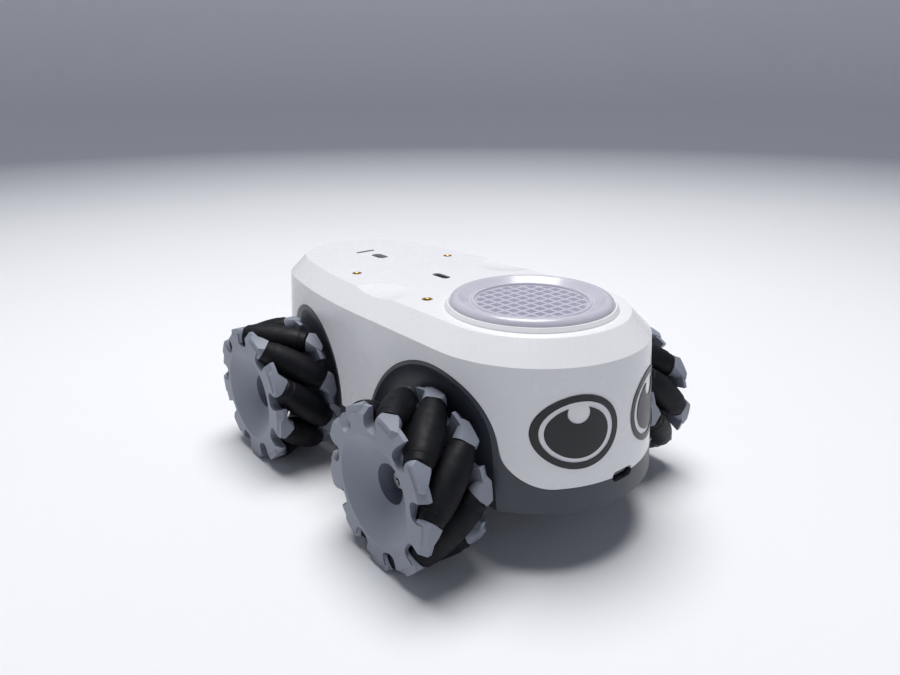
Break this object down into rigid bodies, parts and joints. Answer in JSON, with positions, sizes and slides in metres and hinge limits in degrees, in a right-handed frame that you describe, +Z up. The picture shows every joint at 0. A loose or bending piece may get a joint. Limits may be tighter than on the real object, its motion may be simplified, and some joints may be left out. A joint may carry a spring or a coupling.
{
  "type": "mecanum wheel robot",
  "caption": "Palm-sized desktop robot with a rounded pill-shaped body, round lamp on top, cartoon eyes in front and mecanum wheels with free-turning rollers.",
  "frame": {"origin": "on the floor under the middle of the body's bounding box", "axes": "+X forward, the side with the eyes; +Y left; +Z up"},
  "size_m": [0.1944, 0.1378, 0.085],
  "materials": {
    "shell_white": "satin",
    "chassis_grey": "matte",
    "lamp_lens": "satin, milky",
    "light_grid": "matte",
    "insert_brass": "machined",
    "switch_black": "matte",
    "port_steel": "satin",
    "eye_black": "gloss",
    "circuit_board": "satin",
    "battery_wrap": "satin",
    "motor_steel": "satin",
    "screw_steel": "satin",
    "wheel_grey": "satin",
    "axle_steel": "satin",
    "roller_rubber": "matte"
  },
  "bodies": {
    "chassis": {"top_shell": "shell_white", "chassis_base": "chassis_grey", "lamp_dome": "lamp_lens", "light_board": "light_grid", "brass_inserts": "insert_brass", "usb_ports": "port_steel", "eye_stickers": "eye_black", "main_board": "circuit_board", "battery_pack": "battery_wrap", "gear_motors": "motor_steel", "case_screws": "screw_steel"},
    "power_switch": {"power_switch": "switch_black"},
    "fr_wheel": {"fr_outer_plate": "wheel_grey", "fr_inner_plate": "wheel_grey", "fr_pins_and_axle": "axle_steel"},
    "fr_roller_1": {"fr_roller_1": "roller_rubber"},
    "fr_roller_2": {"fr_roller_2": "roller_rubber"},
    "fr_roller_3": {"fr_roller_3": "roller_rubber"},
    "fr_roller_4": {"fr_roller_4": "roller_rubber"},
    "fr_roller_5": {"fr_roller_5": "roller_rubber"},
    "fr_roller_6": {"fr_roller_6": "roller_rubber"},
    "fr_roller_7": {"fr_roller_7": "roller_rubber"},
    "fr_roller_8": {"fr_roller_8": "roller_rubber"},
    "fr_roller_9": {"fr_roller_9": "roller_rubber"},
    "fl_wheel": {"fl_outer_plate": "wheel_grey", "fl_inner_plate": "wheel_grey", "fl_pins_and_axle": "axle_steel"},
    "fl_roller_1": {"fl_roller_1": "roller_rubber"},
    "fl_roller_2": {"fl_roller_2": "roller_rubber"},
    "fl_roller_3": {"fl_roller_3": "roller_rubber"},
    "fl_roller_4": {"fl_roller_4": "roller_rubber"},
    "fl_roller_5": {"fl_roller_5": "roller_rubber"},
    "fl_roller_6": {"fl_roller_6": "roller_rubber"},
    "fl_roller_7": {"fl_roller_7": "roller_rubber"},
    "fl_roller_8": {"fl_roller_8": "roller_rubber"},
    "fl_roller_9": {"fl_roller_9": "roller_rubber"},
    "rr_wheel": {"rr_outer_plate": "wheel_grey", "rr_inner_plate": "wheel_grey", "rr_pins_and_axle": "axle_steel"},
    "rr_roller_1": {"rr_roller_1": "roller_rubber"},
    "rr_roller_2": {"rr_roller_2": "roller_rubber"},
    "rr_roller_3": {"rr_roller_3": "roller_rubber"},
    "rr_roller_4": {"rr_roller_4": "roller_rubber"},
    "rr_roller_5": {"rr_roller_5": "roller_rubber"},
    "rr_roller_6": {"rr_roller_6": "roller_rubber"},
    "rr_roller_7": {"rr_roller_7": "roller_rubber"},
    "rr_roller_8": {"rr_roller_8": "roller_rubber"},
    "rr_roller_9": {"rr_roller_9": "roller_rubber"},
    "rl_wheel": {"rl_outer_plate": "wheel_grey", "rl_inner_plate": "wheel_grey", "rl_pins_and_axle": "axle_steel"},
    "rl_roller_1": {"rl_roller_1": "roller_rubber"},
    "rl_roller_2": {"rl_roller_2": "roller_rubber"},
    "rl_roller_3": {"rl_roller_3": "roller_rubber"},
    "rl_roller_4": {"rl_roller_4": "roller_rubber"},
    "rl_roller_5": {"rl_roller_5": "roller_rubber"},
    "rl_roller_6": {"rl_roller_6": "roller_rubber"},
    "rl_roller_7": {"rl_roller_7": "roller_rubber"},
    "rl_roller_8": {"rl_roller_8": "roller_rubber"},
    "rl_roller_9": {"rl_roller_9": "roller_rubber"}
  },
  "joints": [
    {"name": "power_switch_slide", "type": "slide", "parent": "chassis", "child": "power_switch", "axis": [1, 0, 0], "range_m": [0, 0.002]},
    {"name": "fr_wheel_spin", "type": "hinge", "parent": "chassis", "child": "fr_wheel", "pos_m": [0.0488, -0.0552, 0.03], "axis": [0, 1, 0], "continuous": true},
    {"name": "fr_roller_1_spin", "type": "hinge", "parent": "fr_wheel", "child": "fr_roller_1", "pos_m": [0.06062, -0.0552, 0.05089], "axis": [0.6154, -0.7071, -0.3482], "continuous": true},
    {"name": "fr_roller_2_spin", "type": "hinge", "parent": "fr_wheel", "child": "fr_roller_2", "pos_m": [0.04443, -0.0552, 0.0536], "axis": [0.6953, -0.7071, 0.1289], "continuous": true},
    {"name": "fr_roller_3_spin", "type": "hinge", "parent": "fr_wheel", "child": "fr_roller_3", "pos_m": [0.03028, -0.0552, 0.04527], "axis": [0.4498, -0.7071, 0.5456], "continuous": true},
    {"name": "fr_roller_4_spin", "type": "hinge", "parent": "fr_wheel", "child": "fr_roller_4", "pos_m": [0.0248, -0.0552, 0.02979], "axis": [-0.0062, -0.7071, 0.7071], "continuous": true},
    {"name": "fr_roller_5_spin", "type": "hinge", "parent": "fr_wheel", "child": "fr_roller_5", "pos_m": [0.03055, -0.0552, 0.01441], "axis": [-0.4592, -0.7071, 0.5377], "continuous": true},
    {"name": "fr_roller_6_spin", "type": "hinge", "parent": "fr_wheel", "child": "fr_roller_6", "pos_m": [0.04484, -0.0552, 0.00633], "axis": [-0.6974, -0.7071, 0.1167], "continuous": true},
    {"name": "fr_roller_7_spin", "type": "hinge", "parent": "fr_wheel", "child": "fr_roller_7", "pos_m": [0.06098, -0.0552, 0.00932], "axis": [-0.6093, -0.7071, -0.3589], "continuous": true},
    {"name": "fr_roller_8_spin", "type": "hinge", "parent": "fr_wheel", "child": "fr_roller_8", "pos_m": [0.07142, -0.0552, 0.02199], "axis": [-0.236, -0.7071, -0.6665], "continuous": true},
    {"name": "fr_roller_9_spin", "type": "hinge", "parent": "fr_wheel", "child": "fr_roller_9", "pos_m": [0.07128, -0.0552, 0.03841], "axis": [0.2476, -0.7071, -0.6623], "continuous": true},
    {"name": "fl_wheel_spin", "type": "hinge", "parent": "chassis", "child": "fl_wheel", "pos_m": [0.0488, 0.0552, 0.03], "axis": [0, 1, 0], "continuous": true},
    {"name": "fl_roller_1_spin", "type": "hinge", "parent": "fl_wheel", "child": "fl_roller_1", "pos_m": [0.06062, 0.0552, 0.05089], "axis": [0.6154, 0.7071, -0.3482], "continuous": true},
    {"name": "fl_roller_2_spin", "type": "hinge", "parent": "fl_wheel", "child": "fl_roller_2", "pos_m": [0.04443, 0.0552, 0.0536], "axis": [0.6953, 0.7071, 0.1289], "continuous": true},
    {"name": "fl_roller_3_spin", "type": "hinge", "parent": "fl_wheel", "child": "fl_roller_3", "pos_m": [0.03028, 0.0552, 0.04527], "axis": [0.4498, 0.7071, 0.5456], "continuous": true},
    {"name": "fl_roller_4_spin", "type": "hinge", "parent": "fl_wheel", "child": "fl_roller_4", "pos_m": [0.0248, 0.0552, 0.02979], "axis": [-0.0062, 0.7071, 0.7071], "continuous": true},
    {"name": "fl_roller_5_spin", "type": "hinge", "parent": "fl_wheel", "child": "fl_roller_5", "pos_m": [0.03055, 0.0552, 0.01441], "axis": [-0.4592, 0.7071, 0.5377], "continuous": true},
    {"name": "fl_roller_6_spin", "type": "hinge", "parent": "fl_wheel", "child": "fl_roller_6", "pos_m": [0.04484, 0.0552, 0.00633], "axis": [-0.6974, 0.7071, 0.1167], "continuous": true},
    {"name": "fl_roller_7_spin", "type": "hinge", "parent": "fl_wheel", "child": "fl_roller_7", "pos_m": [0.06098, 0.0552, 0.00932], "axis": [-0.6093, 0.7071, -0.3589], "continuous": true},
    {"name": "fl_roller_8_spin", "type": "hinge", "parent": "fl_wheel", "child": "fl_roller_8", "pos_m": [0.07142, 0.0552, 0.02199], "axis": [-0.236, 0.7071, -0.6665], "continuous": true},
    {"name": "fl_roller_9_spin", "type": "hinge", "parent": "fl_wheel", "child": "fl_roller_9", "pos_m": [0.07128, 0.0552, 0.03841], "axis": [0.2476, 0.7071, -0.6623], "continuous": true},
    {"name": "rr_wheel_spin", "type": "hinge", "parent": "chassis", "child": "rr_wheel", "pos_m": [-0.0488, -0.0552, 0.03], "axis": [0, 1, 0], "continuous": true},
    {"name": "rr_roller_1_spin", "type": "hinge", "parent": "rr_wheel", "child": "rr_roller_1", "pos_m": [-0.03091, -0.0552, 0.046], "axis": [-0.4713, -0.7071, 0.5271], "continuous": true},
    {"name": "rr_roller_2_spin", "type": "hinge", "parent": "rr_wheel", "child": "rr_roller_2", "pos_m": [-0.04538, -0.0552, 0.05375], "axis": [-0.6999, -0.7071, 0.1009], "continuous": true},
    {"name": "rr_roller_3_spin", "type": "hinge", "parent": "rr_wheel", "child": "rr_roller_3", "pos_m": [-0.06145, -0.0552, 0.0504], "axis": [-0.601, -0.7071, -0.3726], "continuous": true},
    {"name": "rr_roller_4_spin", "type": "hinge", "parent": "rr_wheel", "child": "rr_roller_4", "pos_m": [-0.0716, -0.0552, 0.0375], "axis": [-0.2209, -0.7071, -0.6717], "continuous": true},
    {"name": "rr_roller_5_spin", "type": "hinge", "parent": "rr_wheel", "child": "rr_roller_5", "pos_m": [-0.07108, -0.0552, 0.02109], "axis": [0.2626, -0.7071, -0.6565], "continuous": true},
    {"name": "rr_roller_6_spin", "type": "hinge", "parent": "rr_wheel", "child": "rr_roller_6", "pos_m": [-0.06014, -0.0552, 0.00885], "axis": [0.6232, -0.7071, -0.3341], "continuous": true},
    {"name": "rr_roller_7_spin", "type": "hinge", "parent": "rr_wheel", "child": "rr_roller_7", "pos_m": [-0.04389, -0.0552, 0.00651], "axis": [0.6922, -0.7071, 0.1446], "continuous": true},
    {"name": "rr_roller_8_spin", "type": "hinge", "parent": "rr_wheel", "child": "rr_roller_8", "pos_m": [-0.02994, -0.0552, 0.01516], "axis": [0.4373, -0.7071, 0.5557], "continuous": true},
    {"name": "rr_roller_9_spin", "type": "hinge", "parent": "rr_wheel", "child": "rr_roller_9", "pos_m": [-0.02481, -0.0552, 0.03075], "axis": [-0.0222, -0.7071, 0.7068], "continuous": true},
    {"name": "rl_wheel_spin", "type": "hinge", "parent": "chassis", "child": "rl_wheel", "pos_m": [-0.0488, 0.0552, 0.03], "axis": [0, 1, 0], "continuous": true},
    {"name": "rl_roller_1_spin", "type": "hinge", "parent": "rl_wheel", "child": "rl_roller_1", "pos_m": [-0.03091, 0.0552, 0.046], "axis": [-0.4713, 0.7071, 0.5271], "continuous": true},
    {"name": "rl_roller_2_spin", "type": "hinge", "parent": "rl_wheel", "child": "rl_roller_2", "pos_m": [-0.04538, 0.0552, 0.05375], "axis": [-0.6999, 0.7071, 0.1009], "continuous": true},
    {"name": "rl_roller_3_spin", "type": "hinge", "parent": "rl_wheel", "child": "rl_roller_3", "pos_m": [-0.06145, 0.0552, 0.0504], "axis": [-0.601, 0.7071, -0.3726], "continuous": true},
    {"name": "rl_roller_4_spin", "type": "hinge", "parent": "rl_wheel", "child": "rl_roller_4", "pos_m": [-0.0716, 0.0552, 0.0375], "axis": [-0.2209, 0.7071, -0.6717], "continuous": true},
    {"name": "rl_roller_5_spin", "type": "hinge", "parent": "rl_wheel", "child": "rl_roller_5", "pos_m": [-0.07108, 0.0552, 0.02109], "axis": [0.2626, 0.7071, -0.6565], "continuous": true},
    {"name": "rl_roller_6_spin", "type": "hinge", "parent": "rl_wheel", "child": "rl_roller_6", "pos_m": [-0.06014, 0.0552, 0.00885], "axis": [0.6232, 0.7071, -0.3341], "continuous": true},
    {"name": "rl_roller_7_spin", "type": "hinge", "parent": "rl_wheel", "child": "rl_roller_7", "pos_m": [-0.04389, 0.0552, 0.00651], "axis": [0.6922, 0.7071, 0.1446], "continuous": true},
    {"name": "rl_roller_8_spin", "type": "hinge", "parent": "rl_wheel", "child": "rl_roller_8", "pos_m": [-0.02994, 0.0552, 0.01516], "axis": [0.4373, 0.7071, 0.5557], "continuous": true},
    {"name": "rl_roller_9_spin", "type": "hinge", "parent": "rl_wheel", "child": "rl_roller_9", "pos_m": [-0.02481, 0.0552, 0.03075], "axis": [-0.0222, 0.7071, 0.7068], "continuous": true}
  ]
}
